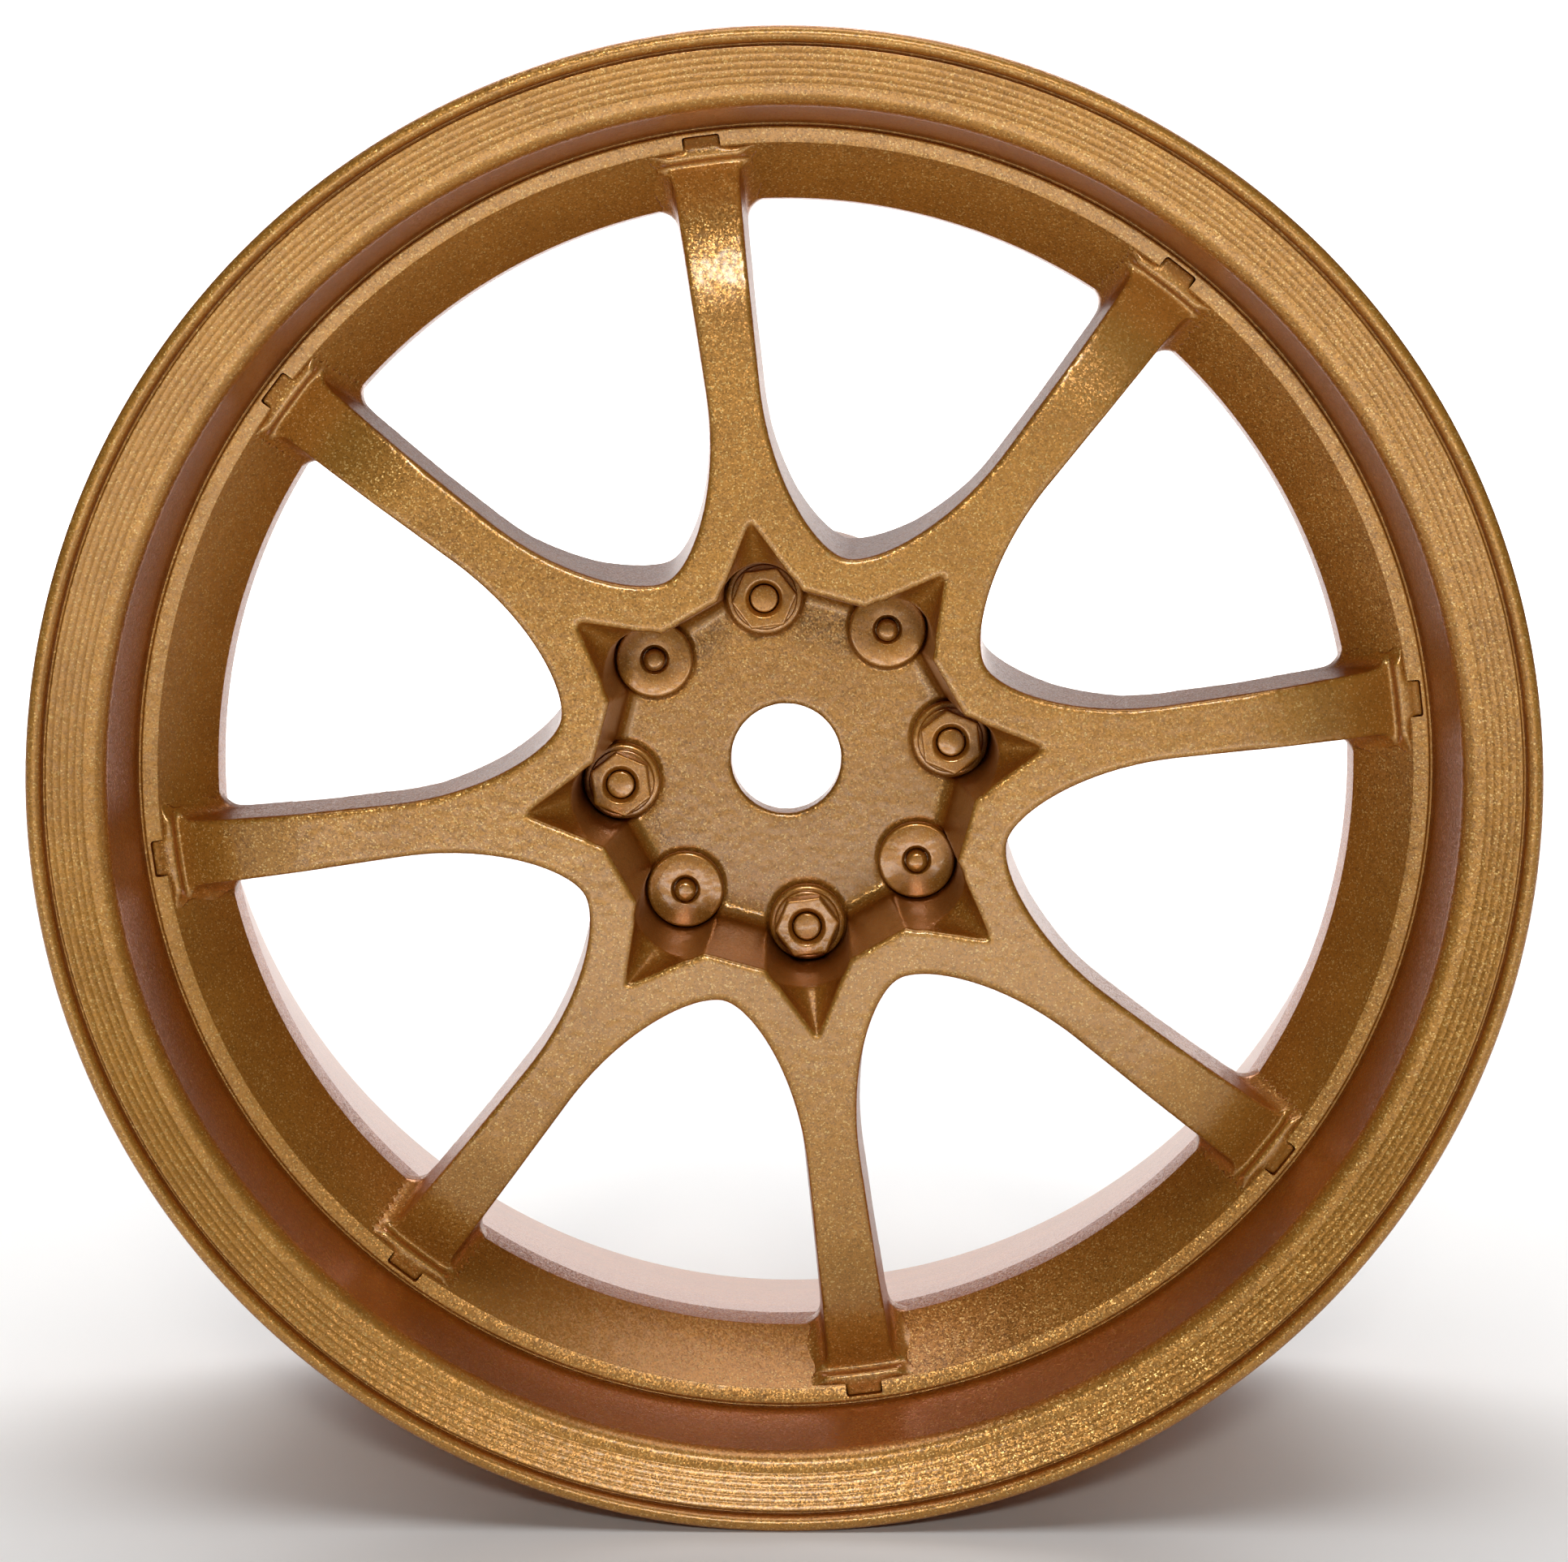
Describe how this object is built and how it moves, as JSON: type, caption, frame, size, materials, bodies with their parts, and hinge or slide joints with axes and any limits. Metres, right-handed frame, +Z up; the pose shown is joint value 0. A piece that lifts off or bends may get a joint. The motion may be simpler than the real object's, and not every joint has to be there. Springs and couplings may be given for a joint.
{
  "type": "scale racing wheel",
  "caption": "Gold scale racing wheel: slim straight spokes from a deep recessed hub with hex lug nuts to a stepped, grooved lip and an open barrel with a hex drive socket.",
  "frame": {"origin": "centre of the wheel, on its spin axis and halfway across its width", "axes": "+Y along the spin axis from the outer face to the back, +Z up, +X to the right as seen from the outer face"},
  "size_m": [0.052, 0.026, 0.052],
  "materials": {
    "rim_paint": "gold metal-flake paint under clear coat",
    "centre_paint": "gold metal-flake paint under clear coat",
    "seat_paint": "gold metal-flake paint under clear coat",
    "stud_paint": "gold metal-flake paint over steel",
    "nut_paint": "gold metal-flake paint over steel",
    "drive_metal": "machined satin"
  },
  "bodies": {
    "wheel": {"rim_barrel": "rim_paint", "spoke_centre": "centre_paint", "drive_hub": "drive_metal", "lug_seat_1": "seat_paint", "lug_seat_2": "seat_paint", "lug_seat_3": "seat_paint", "lug_seat_4": "seat_paint", "lug_stud_1": "stud_paint", "lug_stud_2": "stud_paint", "lug_stud_3": "stud_paint", "lug_stud_4": "stud_paint", "lug_plug_1": "seat_paint", "lug_plug_2": "seat_paint", "lug_plug_3": "seat_paint", "lug_plug_4": "seat_paint", "plug_pin_1": "stud_paint", "plug_pin_2": "stud_paint", "plug_pin_3": "stud_paint", "plug_pin_4": "stud_paint"},
    "washer_1": {"lug_washer_1": "nut_paint"},
    "nut_1": {"lug_nut_1": "nut_paint"},
    "washer_2": {"lug_washer_2": "nut_paint"},
    "nut_2": {"lug_nut_2": "nut_paint"},
    "washer_3": {"lug_washer_3": "nut_paint"},
    "nut_3": {"lug_nut_3": "nut_paint"},
    "washer_4": {"lug_washer_4": "nut_paint"},
    "nut_4": {"lug_nut_4": "nut_paint"}
  },
  "joints": [
    {"name": "nut_1_travel", "type": "slide", "parent": "wheel", "child": "washer_1", "axis": [0, -1, 0], "range_m": [0, 0.001]},
    {"name": "nut_1_turn", "type": "hinge", "parent": "washer_1", "child": "nut_1", "pos_m": [-0.00079, -0.0025, 0.0061], "axis": [0, -1, 0], "range_deg": [0, 1440]},
    {"name": "nut_2_travel", "type": "slide", "parent": "wheel", "child": "washer_2", "axis": [0, -1, 0], "range_m": [0, 0.001]},
    {"name": "nut_2_turn", "type": "hinge", "parent": "washer_2", "child": "nut_2", "pos_m": [-0.0061, -0.0025, -0.00079], "axis": [0, -1, 0], "range_deg": [0, 1440]},
    {"name": "nut_3_travel", "type": "slide", "parent": "wheel", "child": "washer_3", "axis": [0, -1, 0], "range_m": [0, 0.001]},
    {"name": "nut_3_turn", "type": "hinge", "parent": "washer_3", "child": "nut_3", "pos_m": [0.00079, -0.0025, -0.0061], "axis": [0, -1, 0], "range_deg": [0, 1440]},
    {"name": "nut_4_travel", "type": "slide", "parent": "wheel", "child": "washer_4", "axis": [0, -1, 0], "range_m": [0, 0.001]},
    {"name": "nut_4_turn", "type": "hinge", "parent": "washer_4", "child": "nut_4", "pos_m": [0.0061, -0.0025, 0.00079], "axis": [0, -1, 0], "range_deg": [0, 1440]}
  ],
  "couplings": [
    {"joint": "nut_1_turn", "follows": "nut_1_travel", "rad_per_m": 25132},
    {"joint": "nut_2_turn", "follows": "nut_2_travel", "rad_per_m": 25132},
    {"joint": "nut_3_turn", "follows": "nut_3_travel", "rad_per_m": 25132},
    {"joint": "nut_4_turn", "follows": "nut_4_travel", "rad_per_m": 25132}
  ]
}
